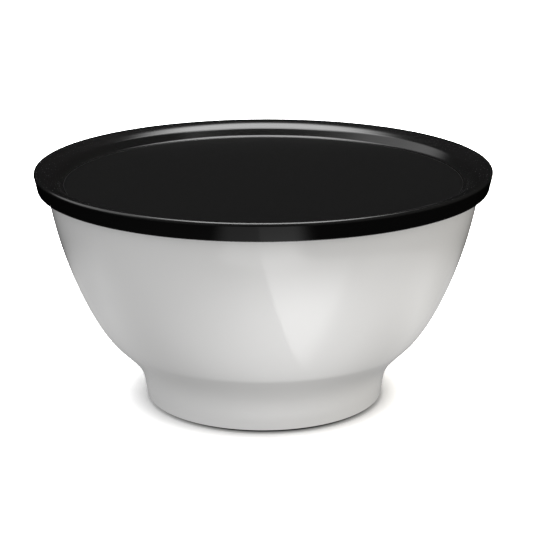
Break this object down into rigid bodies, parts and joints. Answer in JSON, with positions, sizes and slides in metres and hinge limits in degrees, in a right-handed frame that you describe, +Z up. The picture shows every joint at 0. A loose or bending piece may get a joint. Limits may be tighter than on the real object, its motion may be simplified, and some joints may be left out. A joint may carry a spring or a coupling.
{
  "type": "lidded bowl",
  "caption": "Round footed bowl with a flaring wall and a push-on lid with a recessed top, for keeping and serving game stones or food.",
  "frame": {"origin": "centre of the foot's underside, on the surface that the bowl stands on", "axes": "+Z up along the bowl's axis of revolution, towards the lid; X and Y are any two directions across it"},
  "size_m": [0.14, 0.14, 0.0727],
  "materials": {
    "bowl": "glossy moulded melamine, pale neutral grey-white, matt ground foot ring",
    "lid": "black moulded plastic, satin panel, smoother crest and skirt"
  },
  "bodies": {
    "bowl": {"bowl": "bowl"},
    "lid": {"lid": "lid"}
  },
  "joints": [
    {"name": "lid_lift", "type": "slide", "parent": "bowl", "child": "lid", "axis": [0, 0, 1], "range_m": [0, 0.12]}
  ]
}
